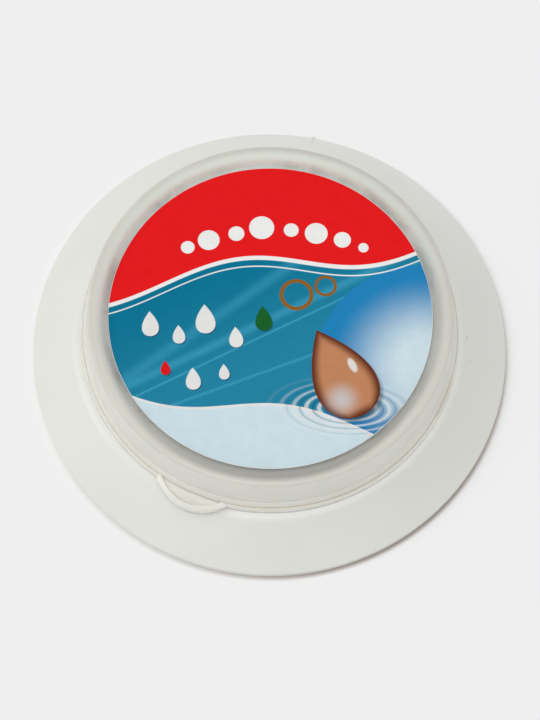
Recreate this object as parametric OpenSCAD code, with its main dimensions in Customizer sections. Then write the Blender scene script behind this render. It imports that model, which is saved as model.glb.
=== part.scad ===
// Desk finger moistener: a low base with a wide sloping skirt and a cup of gel in its middle,
// closed by a soft press-on lid with a sunk panel, a round label and a pull tab.
// Millimetres, +Z up. The origin is the centre of the foot, on the table.

/* [Base] */
// Diameter of the foot, the widest part of the skirt
base_d = 85; // [78:0.5:110]
// Height of the upright edge round the foot
edge_h = 1.6; // [1:0.1:2.5]
// Height of the ledge that the lid's flange rests on
ledge_h = 8; // [7:0.1:12]
// Radius of the roll-over from the ledge to the skirt's slope
ledge_roll = 3; // [0.5:0.1:4]
// Wall thickness of the skirt and the ledge
base_wall = 1.6; // [1.2:0.1:2.2]
// Width of the moulding gate's stub on the foot's edge
gate_w = 1; // [0.6:0.1:2]
// How far the gate's stub stands out of the edge
gate_proud = 0.25; // [0.1:0.05:0.5]
// Direction of the gate's stub, from +X
gate_angle = 81; // [60:1:120]

/* [Cup] */
// Inner diameter of the cup at its mouth
cup_d = 57.9; // [50:0.1:58.5]
// Wall thickness of the cup
cup_wall = 1.25; // [1:0.05:1.6]
// Height of the cup's rim above the ledge
cup_rise = 7; // [6:0.1:9]
// Depth of the cup, from its rim to its floor
cup_depth = 8.7; // [7.5:0.1:9.5]
// Thickness of the cup's floor
floor_t = 1.5; // [1:0.1:2]
// Radius between the cup's floor and its wall
cup_fillet = 1.5; // [0.5:0.1:2]
// Draft of the cup's inner and outer wall, in degrees
cup_draft = 1; // [0.5:0.1:2]
// Depth of the charge of gel at the cup's wall
gel_depth = 3.5; // [2:0.1:4]
// How far the gel is worn hollow in the middle
gel_hollow = 0.3; // [0.1:0.05:0.6]

/* [Lid] */
// Wall thickness of the lid's skirt and rim
lid_wall = 1.1; // [0.8:0.05:1.3]
// Thickness of the lid's sunk panel
panel_t = 1; // [0.8:0.05:1.2]
// Draft of the lid's skirt, in degrees
lid_draft = 7; // [5:0.5:8]
// Clearance between the cup's rim and the lid's skirt
lid_gap = 0.34; // [0.2:0.02:0.5]
// Room over the cup's rim, inside the lid's rim
rim_room = 1.6; // [1.5:0.1:2.5]
// Width of the top of the lid's raised rim
rim_w = 1.9; // [1.6:0.1:2.2]
// Width of the slope from the rim down to the panel
rim_slope_w = 1.05; // [0.8:0.05:1.2]
// Depth of the panel below the top of the rim
panel_drop = 2.1; // [1.8:0.1:2.3]
// Clearance between the panel's plug and the cup's mouth
plug_gap = 0.5; // [0.4:0.05:0.7]
// Thickness of the lid's flange
flange_t = 1.7; // [1.2:0.1:1.9]
// How far the flange stands out of the skirt's flared foot
flange_w = 0.4; // [0.4:0.05:1]
// Height of the flared foot of the lid's skirt, over the flange
foot_h = 0.8; // [0.5:0.1:1.2]
// Width of the flared foot
foot_w = 0.8; // [0.5:0.1:1.2]

/* [Snap] */
// How far the bead on the cup stands out
cup_bead = 0.3; // [0.2:0.05:0.4]
// Height of the middle of the cup's bead over the ledge
cup_bead_h = 3.2; // [3.2:0.1:4.5]
// Height of the middle of the lid's bead over the ledge
lid_bead_h = 1.5; // [1.2:0.1:1.6]
// Length of each bead up the wall
bead_len = 1.4; // [1:0.1:1.6]
// Clearance at which the lid's bead passes the cup's bead
snap_gap = 0.15; // [0.1:0.01:0.3]

/* [Pull tab] */
// Direction of the pull tab, from +X
tab_angle = -112.5; // [-180:0.5:180]
// How far the tab stands out of the flange
tab_out = 2.6; // [1.5:0.1:4]
// Radius of the tab's outline
tab_r = 8.2; // [6:0.1:12]
// Radius of the tab's rolled edge
tab_edge = 0.9; // [0.4:0.1:1.2]
// How far the tab's top stands above the flange
tab_step = 0.1; // [0.05:0.05:0.4]
// Depth of the thumb rest sunk into the tab
tab_dish = 0.4; // [0.2:0.05:0.7]
// Room under the tab, over the slope of the skirt
tab_room = 0.8; // [0.4:0.1:1.2]

/* [Label] */
// Bare ring between the label and the foot of the rim's slope
label_gap = 0.5; // [0.45:0.05:3]
// Thickness of the label
label_t = 0.12; // [0.08:0.01:0.3]

/* [Hidden] */
$fn = 60;

// Room between the flange and the end of the flat ledge
ledge_margin = 0.1;
// Small rounding of the mouldings' outer corners
corner_r = 0.35;
// Rounding of the moulded corners that the eye follows
soft_r = 0.6;
// Share of the rim's top that its inner rounding takes
rim_round_share = 0.9;
// Width and depth of the groove between the lid's flange and its skirt
groove_w = 0.15;
groove_t = 0.2;
// Number of chords in a rounded corner, and in a curve whose radius is large_r or more
corner_steps = 3;
curve_steps = 8;
large_r = 1;

// Levels, upwards from the table
rim_z = ledge_h + cup_rise;
floor_z = rim_z - cup_depth;
gel_z = floor_z + gel_depth;
flange_z = ledge_h + flange_t;
tab_z = flange_z + tab_step;
foot_z = flange_z + foot_h;
lid_z = rim_z + rim_room + lid_wall;
panel_z = lid_z - panel_drop;
cup_bead_z = ledge_h + cup_bead_h;
lid_bead_z = ledge_h + lid_bead_h;

// Radius of the cup's inner and outer wall, and of the lid's, at a height over the table
function cup_in(z) = cup_d / 2 - (rim_z - z) * tan(cup_draft);
function cup_out(z) = cup_d / 2 + cup_wall + (rim_z - z) * tan(cup_draft);
function lid_in(z) = cup_out(rim_z) + lid_gap + (rim_z - z) * tan(lid_draft);
function lid_out(z) = lid_in(z) + lid_wall;

// Radii, inwards from the foot
base_r = base_d / 2;
foot_r = lid_out(foot_z) + foot_w;
flange_r = foot_r + flange_w;
ledge_r = flange_r + ledge_margin;
tip_r = flange_r + tab_out;
rim_r = lid_out(lid_z) - rim_w;
panel_r = rim_r - rim_slope_w;
plug_r = cup_in(rim_z) - plug_gap;
label_r = panel_r - label_gap;

// Rounding from the top of the lid's rim into its slope: it takes most of what the outer corner leaves
rim_round = rim_round_share * (rim_w - soft_r) / tan(atan(panel_drop / rim_slope_w) / 2);

// Where the skirt's straight slope leaves the roll-over of the ledge, and its angle
roll_centre = [ledge_r, ledge_h - ledge_roll];
edge_top = [base_r, edge_h];
roll_end = atan2(edge_top[1] - roll_centre[1], edge_top[0] - roll_centre[0])
    + acos(ledge_roll / norm(edge_top - roll_centre));
slope_top = roll_centre + ledge_roll * [cos(roll_end), sin(roll_end)];
slope = (slope_top[1] - edge_top[1]) / (edge_top[0] - slope_top[0]);

function slope_z(r) = edge_top[1] + (edge_top[0] - r) * slope;

// Arc of a circle as points, from angle a0 to angle a1
function arc(centre, r, a0, a1) =
    let (steps = r < large_r ? corner_steps : curve_steps)
    [for (i = [0:steps]) let (a = a0 + (a1 - a0) * i / steps) centre + r * [cos(a), sin(a)]];

// Points of a fillet of radius r at corner q, between its neighbours p and s
function fillet(p, q, s, r) =
    let (
        u = (p - q) / norm(p - q),
        v = (s - q) / norm(s - q),
        half = acos(u * v) / 2,
        centre = q + (u + v) / norm(u + v) * r / sin(half),
        start = q + u * r / tan(half) - centre,
        end = q + v * r / tan(half) - centre,
        a0 = atan2(start[1], start[0]),
        turn = (atan2(end[1], end[0]) - a0 + 540) % 360 - 180
    )
    arc(centre, r, a0, a0 + turn);

// Outline from a list of corners [x, y, radius], each rounded where its radius is over 0
function rounded(corners) =
    let (n = len(corners), at = [for (c = corners) [c[0], c[1]]])
    [for (i = [0:n - 1]) each corners[i][2] > 0
        ? fillet(at[(i + n - 1) % n], at[i], at[(i + 1) % n], corners[i][2])
        : [at[i]]];

// Corners of a bead on a wall from a to b: an arc that stands h out, to the right of the way there
function bead(a, b, h) =
    let (
        length = norm(b - a),
        out = [b[1] - a[1], a[0] - b[0]] / length,
        r = (length * length / 4 + h * h) / (2 * h),
        half = asin(length / 2 / r),
        middle = atan2(out[1], out[0])
    )
    [for (p = arc((a + b) / 2 + out * (h - r), r, middle - half, middle + half)) [p[0], p[1], 0]];

// Section of the base moulding: foot, slope, ledge, cup, and the hollow underside
module base_section() {
    bead_low = cup_bead_z - bead_len / 2;
    bead_high = cup_bead_z + bead_len / 2;
    pan_z = floor_z - floor_t;
    pan_r = cup_in(floor_z) + cup_wall;
    under_z = ledge_h - base_wall;
    // The slope's inner face lies a wall's thickness in from the outer one
    drop = base_wall * sqrt(1 + slope * slope);
    inner_foot_r = base_r - base_wall;
    under_r = edge_top[0] - (under_z + drop - edge_top[1]) / slope;
    polygon(concat(
        rounded([
            [0, pan_z, 0],
            [pan_r, pan_z, soft_r],
            [pan_r, under_z, 0],
            [under_r, under_z, soft_r],
            [inner_foot_r, slope_z(inner_foot_r) - drop, 0],
            [inner_foot_r, 0, 0],
            [base_r, 0, corner_r],
            [base_r, edge_h, corner_r],
            [slope_top[0], slope_top[1], 0]
        ]),
        arc(roll_centre, ledge_roll, roll_end, 90),
        rounded(concat(
            [[cup_out(ledge_h), ledge_h, 0]],
            bead([cup_out(bead_low), bead_low], [cup_out(bead_high), bead_high], cup_bead),
            [
                [cup_out(rim_z), rim_z, corner_r],
                [cup_in(rim_z), rim_z, corner_r],
                [cup_in(floor_z), floor_z, cup_fillet],
                [0, floor_z, 0]
            ]
        ))
    ));
}

// Section of the gel: it fills the foot of the cup, under a surface worn hollow
module gel_section() {
    gel_r = cup_in(gel_z);
    worn_r = (gel_r * gel_r + gel_hollow * gel_hollow) / (2 * gel_hollow);
    worn_centre = [0, gel_z - gel_hollow + worn_r];
    polygon(concat(
        rounded([
            [0, floor_z, 0],
            [cup_in(floor_z), floor_z, cup_fillet],
            [gel_r, gel_z, 0]
        ]),
        arc(worn_centre, worn_r, asin(gel_r / worn_r) - 90, -90)
    ));
}

// Section of the lid without its tab: flange, groove, skirt, raised rim and sunk panel
module lid_section() {
    bead_low = lid_bead_z - bead_len / 2;
    bead_high = lid_bead_z + bead_len / 2;
    crest_r = cup_out(cup_bead_z) + cup_bead + snap_gap;
    channel_z = lid_z - lid_wall;
    polygon(rounded(concat(
        [
            [0, panel_z - panel_t, 0],
            [plug_r, panel_z - panel_t, corner_r],
            [lid_in(channel_z), channel_z, corner_r]
        ],
        bead(
            [lid_in(bead_high), bead_high],
            [lid_in(bead_low), bead_low],
            lid_in(lid_bead_z) - crest_r
        ),
        [
            // The mouth opens out to lead the lid over the cup
            [lid_in(ledge_h) + corner_r, ledge_h, 0],
            [flange_r, ledge_h, 0],
            [flange_r, flange_z, corner_r / 2],
            [foot_r + groove_w, flange_z, 0],
            [foot_r, flange_z - groove_t, 0],
            [foot_r, flange_z, 0],
            [lid_out(foot_z) + groove_w, foot_z, 0],
            [lid_out(foot_z), foot_z, 0],
            [lid_out(lid_z), lid_z, soft_r],
            [rim_r, lid_z, rim_round],
            [panel_r, panel_z, soft_r],
            [0, panel_z, 0]
        ]
    )));
}

// Puts what follows on the axis of the pull tab's round lobe
module at_tab() {
    rotate(tab_angle)
        translate([tip_r - tab_r, 0])
            children();
}

// Upright disc between two levels, with its top edge rolled over
module rolled_disc(r, bottom_z, top_z, edge) {
    rotate_extrude()
        union() {
            translate([0, bottom_z]) square([r, top_z - edge - bottom_z]);
            translate([0, bottom_z]) square([r - edge, top_z - bottom_z]);
            translate([r - edge, top_z - edge]) circle(r = edge);
        }
}

// Section of what the tab stays clear of: the base's slope and ledge, with the tab's room over them
module under_tab_section() {
    clear_r = ledge_roll + tab_room;
    polygon(concat(
        [
            [0, 0],
            [base_r + tab_room, 0],
            edge_top + tab_room * [cos(roll_end), sin(roll_end)]
        ],
        arc(roll_centre, clear_r, roll_end, 90),
        [[0, ledge_h + tab_room]]
    ));
}

// Pull tab: a lobe that grows out of the skirt's thick foot, clear of the slope under it
module pull_tab() {
    difference() {
        at_tab() rolled_disc(tab_r, 0, tab_z, tab_edge);
        cylinder(r = (lid_in(ledge_h) + lid_out(ledge_h)) / 2, h = lid_z);
        rotate_extrude() under_tab_section();
    }
}

// Hollow for the thumb in the tab's top, up to the foot of the skirt
module thumb_rest() {
    difference() {
        at_tab()
            translate([0, 0, tab_z - tab_dish])
                cylinder(r = tab_r - tab_edge, h = lid_z);
        cylinder(r = foot_r, h = 2 * lid_z);
    }
}

module base() {
    color([0.93, 0.93, 0.9])
        union() {
            rotate_extrude() base_section();
            rotate(gate_angle)
                translate([base_r - base_wall / 2, -gate_w / 2, corner_r])
                    cube([base_wall / 2 + gate_proud, gate_w, edge_h - 2 * corner_r]);
        }
}

module gel() {
    color([0.93, 0.85, 0.78])
        rotate_extrude() gel_section();
}

module lid() {
    color([0.86, 0.86, 0.82, 0.75])
        difference() {
            union() {
                rotate_extrude() lid_section();
                pull_tab();
            }
            thumb_rest();
        }
}

module label() {
    color([0.04, 0.42, 0.54])
        translate([0, 0, panel_z])
            cylinder(r = label_r, h = label_t);
}

base();
gel();
lid();
label();
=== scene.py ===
"""Looks of a desk finger moistener: a low pot of gel with a wide skirt, a press-on lid and a round label.

Lengths are in metres. The origin is the centre of the foot, on the table, and +Z is up.
"""

import math

import bmesh
import bpy
from mathutils import Matrix, Vector


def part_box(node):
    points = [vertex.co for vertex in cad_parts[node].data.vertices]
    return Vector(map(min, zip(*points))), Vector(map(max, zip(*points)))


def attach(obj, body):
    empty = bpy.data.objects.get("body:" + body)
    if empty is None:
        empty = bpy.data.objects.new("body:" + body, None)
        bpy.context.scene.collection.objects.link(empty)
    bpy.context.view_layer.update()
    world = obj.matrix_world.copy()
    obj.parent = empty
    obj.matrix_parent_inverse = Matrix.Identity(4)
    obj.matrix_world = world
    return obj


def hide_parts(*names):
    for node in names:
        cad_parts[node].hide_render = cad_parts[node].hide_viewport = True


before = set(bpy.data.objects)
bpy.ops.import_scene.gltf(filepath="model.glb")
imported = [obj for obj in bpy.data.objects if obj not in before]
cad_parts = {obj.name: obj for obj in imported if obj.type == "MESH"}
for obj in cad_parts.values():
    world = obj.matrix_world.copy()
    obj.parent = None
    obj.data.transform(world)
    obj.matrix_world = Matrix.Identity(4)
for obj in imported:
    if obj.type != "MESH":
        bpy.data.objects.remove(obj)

bl_info = {
    "name": "Finger Moistener",
    "version": (1, 0, 0),
    "blender": (4, 5, 0),
    "location": "View3D > Sidebar > Moistener",
    "description": "Models a desk finger moistener: base, gel, press-on lid and label",
    "category": "Add Mesh",
}

MM = 0.001
ORIGIN = (0.0, 0.0, 0.0)
TURN_STEPS = 256
TAB_STEPS = 160
# How near to a ring or a height a point has to lie to count as being there
REACH = 0.004 * MM
# Innermost rings of the flat faces: of the base and the lid, of the gel and the label, and under the tab
FLAT_RING = 6.0 * MM
SMALL_RING = 4.0 * MM
CORE_RING = 1.0 * MM
# How far the solids that cut the pull tab reach below the table
BELOW = 1.0 * MM
# The Mix node's sockets for colours, by number, because its sockets share their names
MIX_SHARE, MIX_FIRST, MIX_SECOND, MIX_RESULT = 0, 6, 7, 2
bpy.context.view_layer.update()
BASE_LOW, BASE_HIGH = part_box("base")
GEL_LOW, GEL_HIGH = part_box("gel")
LID_LOW, LID_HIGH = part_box("lid")
LABEL_LOW, LABEL_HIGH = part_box("label")


def length(name, description, default):
    """A size in metres for the sidebar."""
    return bpy.props.FloatProperty(
        name=name, description=description, default=default, min=0.0, precision=5, unit="LENGTH"
    )


def angle(name, description, degrees):
    """An angle for the sidebar, given in degrees."""
    return bpy.props.FloatProperty(
        name=name, description=description, default=math.radians(degrees), unit="ROTATION"
    )


def colour(name, description, red, green, blue):
    """A colour for the sidebar, given as the sRGB values of a print or a screen, from 0 to 255."""
    linear = [linear_value(value / 255) for value in (red, green, blue)]
    return bpy.props.FloatVectorProperty(
        name=name, description=description, default=linear, size=3, min=0.0, max=1.0, subtype="COLOR"
    )


def number(name, description, default):
    """A plain number for the sidebar."""
    return bpy.props.FloatProperty(name=name, description=description, default=default, min=0.0)


def fraction(name, description, default):
    """How much of a finish shows, from 0 to 1, for the sidebar."""
    return bpy.props.FloatProperty(
        name=name, description=description, default=default, min=0.0, max=1.0, subtype="FACTOR"
    )


def place(name, description, default):
    """A place along an axis, in metres, for the sidebar."""
    return bpy.props.FloatProperty(
        name=name, description=description, default=default, precision=5, unit="LENGTH"
    )


def linear_value(value):
    """An sRGB value as linear light."""
    return value / 12.92 if value <= 0.04045 else ((value + 0.055) / 1.055) ** 2.4


def outwards(turned):
    """Unit vector in a plane, at an angle from the plane's first axis."""
    return Vector((math.cos(turned), math.sin(turned)))


class MoistenerBaseSizes(bpy.types.PropertyGroup):
    """Sizes of the base moulding, of the cup in it and of the hollow in the gel."""

    foot_radius: length("Foot radius", "Radius of the foot of the skirt", (BASE_HIGH.x - BASE_LOW.x) / 2)
    edge_height: length("Edge height", "Height of the upright edge round the foot", 1.6 * MM)
    edge_round: length("Edge rounding", "Rounding of the edges of the foot and the cup's rim", 0.35 * MM)
    ledge_height: length("Ledge height", "Height of the ledge under the lid", LID_LOW.z)
    ledge_radius: length("Ledge radius", "Radius where the ledge starts to roll over", 33.49 * MM)
    ledge_roll: length("Ledge roll", "Radius of the roll-over from the ledge to the slope", 3.0 * MM)
    wall: length("Wall", "Thickness of the skirt and the ledge", 1.6 * MM)
    cup_radius: length("Cup radius", "Inner radius of the cup at its mouth", 28.95 * MM)
    cup_wall: length("Cup wall", "Thickness of the cup's wall at its mouth", 1.25 * MM)
    cup_fillet: length("Cup fillet", "Radius between the cup's floor and its wall", 1.5 * MM)
    cup_draft: angle("Cup draft", "Draft of the cup's walls", 1.0)
    floor_height: length("Floor height", "Height of the cup's floor", GEL_LOW.z)
    floor_thickness: length("Floor thickness", "Thickness of the cup's floor", 1.5 * MM)
    pan_round: length("Pan rounding", "Rounding of the corner under the cup", 0.6 * MM)
    under_round: length("Under rounding", "Rounding of the corner under the ledge", 0.24 * MM)
    rim_height: length("Rim height", "Height of the cup's rim", BASE_HIGH.z)
    gel_hollow: length("Gel hollow", "Depth of the hollow that fingertips wore in the gel", 0.35 * MM)
    bead_height: length("Bead height", "Height of the snap bead over the ledge", 3.2 * MM)
    bead_length: length("Bead length", "Length of the snap bead up the wall", 1.4 * MM)
    bead_depth: length("Bead depth", "How far the snap bead stands out", 0.3 * MM)
    gate_angle: angle("Gate angle", "Direction of the moulding gate's stub, from +X", 80.3)
    gate_width: length("Gate width", "Width of the moulding gate's stub", 1.0 * MM)
    gate_proud: length("Gate stub", "How far the gate's stub stands out of the edge", 0.35 * MM)
    gate_round: length("Gate rounding", "Rounding of the gate's stub", 0.12 * MM)
    scar_length: length("Gate scar", "Length of the line that the gate left on the slope", 3.0 * MM)

    def inside(self, height):
        """Inner radius of the cup at a height."""
        return self.cup_radius - (self.rim_height - height) * math.tan(self.cup_draft)

    def outside(self, height):
        """Outer radius of the cup at a height."""
        return self.cup_radius + self.cup_wall + (self.rim_height - height) * math.tan(self.cup_draft)

    def roll_centre(self):
        """Centre of the roll-over, in the section's plane."""
        return Vector((self.ledge_radius, self.ledge_height - self.ledge_roll))

    def roll_end(self):
        """Angle at which the roll-over runs out into the straight slope."""
        to_edge = Vector((self.foot_radius, self.edge_height)) - self.roll_centre()
        return math.atan2(to_edge.y, to_edge.x) + math.acos(self.ledge_roll / to_edge.length)

    def slope_top(self):
        """Point where the roll-over meets the straight slope."""
        return self.roll_centre() + self.ledge_roll * outwards(self.roll_end())

    def slope_fall(self):
        """How much the slope falls for each metre out from the axis."""
        top = self.slope_top()
        return (top.y - self.edge_height) / (self.foot_radius - top.x)

    def slope_height(self, radius):
        """Height of the slope, drawn on past both its ends, at a radius."""
        return self.edge_height + (self.foot_radius - radius) * self.slope_fall()


class MoistenerLidSizes(bpy.types.PropertyGroup):
    """Sizes of the press-on lid and its pull tab."""

    wall: length("Wall", "Thickness of the lid's skirt and rim", 1.1 * MM)
    draft: angle("Draft", "Draft of the lid's skirt", 7.0)
    gap: length("Gap", "Clearance between the cup's rim and the lid's skirt", 0.34 * MM)
    top_height: length("Top height", "Height of the lid's rim", LID_HIGH.z)
    panel_height: length("Panel height", "Height of the sunk panel", LABEL_LOW.z)
    panel_thickness: length("Panel thickness", "Thickness of the sunk panel", 1.0 * MM)
    panel_radius: length("Panel radius", "Radius of the sunk panel", 28.36 * MM)
    plug_radius: length("Plug radius", "Radius of the plug that drops into the cup's mouth", 28.45 * MM)
    rim_radius: length("Rim radius", "Inner radius of the top of the rim", 29.41 * MM)
    rim_round: length("Rim rounding", "Reach of the rounding from the rim's top into its slope", 1.17 * MM)
    soft_round: length("Soft rounding", "Rounding of the rim's other corners", 0.6 * MM)
    corner_round: length("Corner rounding", "Rounding of the hidden corners", 0.35 * MM)
    foot_height: length("Foot height", "Height of the skirt's flared foot over the flange", 0.8 * MM)
    foot_width: length("Foot width", "Width of the skirt's flared foot", 0.72 * MM)
    flange_thickness: length("Flange thickness", "Thickness of the flange", 1.7 * MM)
    flange_width: length("Flange width", "How far the flange stands out of the flared foot", 0.48 * MM)
    flange_lean: length("Flange lean", "How far the flange's side leans in up to its top edge", 0.23 * MM)
    groove_width: length("Groove width", "Width of the groove beside the flared foot", 0.12 * MM)
    groove_depth: length("Groove depth", "Depth of the groove beside the flared foot", 0.16 * MM)
    bead_height: length("Bead height", "Height of the snap bead over the ledge", 1.5 * MM)
    bead_length: length("Bead length", "Length of the snap bead up the wall", 1.4 * MM)
    snap_gap: length("Snap gap", "Clearance at which the beads pass each other", 0.15 * MM)
    tab_angle: angle("Tab angle", "Direction of the pull tab, from +X", -112.5)
    tab_out: length("Tab reach", "How far the tab stands out of the flange", 2.6 * MM)
    tab_radius: length("Tab radius", "Radius of the tab's outline", 8.2 * MM)
    tab_edge: length("Tab edge", "Radius of the tab's rolled edge", 0.9 * MM)
    tab_step: length("Tab step", "How far the tab stands above the flange", 0.1 * MM)
    tab_dish: length("Thumb rest", "Depth of the thumb rest in the tab", 0.4 * MM)
    tab_room: length("Tab room", "Room under the tab, over the slope of the skirt", 0.8 * MM)

    def inside(self, base, height):
        """Inner radius of the skirt at a height, over the sizes of the base that it is pressed on."""
        top = base.outside(base.rim_height) + self.gap
        return top + (base.rim_height - height) * math.tan(self.draft)

    def outside(self, base, height):
        """Outer radius of the skirt at a height."""
        return self.inside(base, height) + self.wall

    def flange_height(self, base):
        """Height of the flange's top."""
        return base.ledge_height + self.flange_thickness

    def foot_radius(self, base):
        """Outer radius of the skirt's flared foot."""
        return self.outside(base, self.flange_height(base) + self.foot_height) + self.foot_width

    def flange_radius(self, base):
        """Outer radius of the flange."""
        return self.foot_radius(base) + self.flange_width


# Specks of dust on the skirt: direction from +X in degrees, distance from the axis, radius
SPECKS = (
    (11.1, 37.9 * MM, 0.15 * MM),
    (4.6, 37.4 * MM, 0.13 * MM),
    (-0.3, 34.9 * MM, 0.2 * MM),
    (-6.9, 35.6 * MM, 0.15 * MM),
    (-34.5, 34.8 * MM, 0.12 * MM),
    (-152.0, 38.2 * MM, 0.1 * MM),
)

# The label's motifs, in millimetres from its middle. A wave is (level, rise, swell, rate, phase), a ray
# (slant, place, half width, strength), a drop (X, Y, half length, direction in degrees, colour), a bubble
# (X, Y, radius) and a ring (X, Y, radius, half width).
RED_EDGE = (8.6, 0.2, 2.6, 0.13, 2.4)
SHORE = (-18.2, -0.16, 2.0, 0.14, 0.9)
FOAM_HALF = 0.22
FINE_STRIPE_DROP = 1.6
FINE_STRIPE_HALF = 0.12
BAY_CENTRE = (27.0, -9.0)
BAY_RADIUS = 19.0
DROP_WIDTH = 0.58
RIPPLE_RATE = 2.9
RAYS = (
    (0.55, -1.0, 1.5, 0.55),
    (0.55, -3.6, 0.4, 0.75),
    (0.8, 6.5, 2.2, 0.4),
    (0.42, -10.5, 0.5, 0.6),
)
DROPS = (
    (-20.6, -2.6, 2.3, 96.0, "paper"),
    (-15.6, -4.4, 1.7, 96.0, "paper"),
    (-11.2, -1.4, 2.7, 96.0, "paper"),
    (-5.8, -4.6, 1.9, 96.0, "paper"),
    (-1.2, -1.0, 2.3, 96.0, "green"),
    (-17.6, -10.6, 1.3, 96.0, "red"),
    (-12.8, -12.4, 2.0, 96.0, "paper"),
    (-7.6, -11.0, 1.4, 96.0, "paper"),
)
BUBBLES = (
    (-14.8, 12.0, 1.2),
    (-11.2, 13.5, 1.9),
    (-6.4, 14.9, 1.4),
    (-2.0, 16.2, 2.2),
    (3.2, 15.9, 1.3),
    (7.6, 15.4, 2.0),
    (12.2, 14.3, 1.5),
    (15.9, 12.9, 0.9),
)
RINGS = (
    (4.4, 3.6, 2.6, 0.34),
    (9.4, 5.4, 1.7, 0.26),
)


class MoistenerLabelSizes(bpy.types.PropertyGroup):
    """Sizes and print colours of the round label."""

    radius: length("Radius", "Radius of the label", LABEL_HIGH.x + 0.12 * MM)
    edge_round: length("Edge rounding", "Rounding of the label's cut edge", 0.05 * MM)
    screen: length("Print screen", "Pitch of the print's halftone screen", 0.38 * MM)
    cut_edge: length("Cut edge", "Width of the bare film round the print", 0.08 * MM)
    stripe: length("Stripe", "Width of the white stripe under the red field", 0.8 * MM)
    drop_size: length("Drop", "Half the length of the large drop", 8.6 * MM)
    drop_turn: angle("Drop direction", "Direction that the large drop's point faces, from +X", 118.0)
    drop_across: place("Drop along X", "Place of the large drop along X", 12.0 * MM)
    drop_up: place("Drop along Y", "Place of the large drop along Y", -10.5 * MM)
    red: colour("Red", "Red of the upper field", 230, 24, 27)
    teal: colour("Teal", "Teal of the middle field", 2, 132, 168)
    ray: colour("Ray", "Light rays in the teal field", 74, 182, 220)
    blue: colour("Blue", "Blue of the side field", 36, 148, 212)
    pale: colour("Pale blue", "Pale blue of the lower field", 218, 238, 246)
    paper: colour("Paper", "White of the bare film", 238, 238, 236)
    amber: colour("Amber", "Colour of the large drop", 206, 142, 100)
    amber_dark: colour("Dark amber", "Shaded rim of the large drop", 112, 48, 26)
    gold: colour("Gold", "Colour of the rings", 158, 104, 34)
    green: colour("Green", "Colour of the small drops", 26, 108, 44)
    ink: colour("Dark ink", "Shadows in the print", 20, 52, 66)


class MoistenerFinish(bpy.types.PropertyGroup):
    """Colours of the mouldings, the gel, wear, dried gel and painted light and shade, and their strengths
    and sides.
    """

    base: colour("Base", "Stiff white plastic of the base", 226, 227, 221)
    # Colour of the painted highlight on the ledge, just outside the lid's flange
    highlighted: colour("Rubbed base", "Base plastic that the lid's flange has polished", 250, 250, 247)
    lid: colour("Lid", "Soft translucent plastic of the lid", 233, 232, 225)
    # Paler colour painted for light that comes through the lid: on the slope round the label and on the
    # flange's side
    lid_glow: colour("Thin lid", "Soft plastic of the lid on the slope round the label", 248, 246, 240)
    cool: colour("Cool lid", "Soft plastic of the lid on the slope beside the red print", 242, 250, 243)
    warm_edge: colour("Aged lid", "Soft plastic of the lid where it has turned warm with age", 238, 232, 214)
    # Warm colour of the lid's lower edge
    film: colour("Film", "Film of gel over the dark inside of the lid", 120, 118, 108)
    # Dark colour of the painted shade on the lid, also used for the line in its groove
    gel: colour("Gel", "Moistening gel in the cup", 226, 200, 172)
    smear: colour("Smear", "Blotches of gel that has dried on the inside of the lid", 150, 150, 144)
    amber: colour("Amber residue", "Gel that has dried in the crevice beside the flange", 196, 176, 122)
    dust: colour("Dust", "Specks of dust", 96, 100, 92)
    # How much of the painted highlight on the ledge shows
    highlight_share: fraction("Rubbed strength", "How much of the polish on the ledge shows", 0.5)
    dust_share: fraction("Dust strength", "How much of the specks of dust shows", 0.6)
    scar_share: fraction("Scar strength", "How much of the gate's scar shows", 0.13)
    # How much of the painted shade round the label shows on its darker side
    near_shade_share: fraction("Film strength", "How much of the film shows where it has gathered", 0.6)
    smear_share: fraction("Smear strength", "How much of the blotches of dried gel shows", 0.5)
    # How much of the warm colour on the lid's lower edge shows
    warm_edge_share: fraction("Aged strength", "How much the lid's lower edge has turned warm", 0.65)
    # How much of the darker line in the groove round the lid shows
    groove_line_share: fraction("Soil strength", "How much of the soil in the groove round the lid shows", 0.17)
    residue_share: fraction("Residue strength", "How much of the residue beside the flange shows", 0.2)
    # Side on which the painted shade round the label, and the line in the groove, are darkest
    darker_side_turn: angle("Film direction", "Side on which the gel has gathered in the lid, from +X", -70.0)
    # Side on which the painted shade reaches furthest up the rim, and the lower edge is warmest
    wide_turn: angle("Wide film direction", "Side on which the film reaches furthest up the rim", -95.0)
    # Side of a lighter painted shade round the label
    far_shade_turn: angle("Far film direction", "Side on which a thinner film lies, from +X", 35.0)
    # Side on which the painted shade on the rim's top is darkest
    crown_shade_turn: angle("Crown direction", "Side on which the lid's rim is the dullest, from +X", 60.0)
    # Side on which painted shade dulls the rim's outer edge
    shoulder_shade_turn: angle("Shoulder direction", "Side on which the rim's outer edge is dull", -162.0)
    residue_turn: angle("Residue direction", "Side on which gel has dried beside the flange", -22.0)
    # Side on which the painted highlight on the ledge is brightest
    highlight_turn: angle("Rubbed side", "Side on which the flange has rubbed the ledge, from +X", -50.0)


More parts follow.
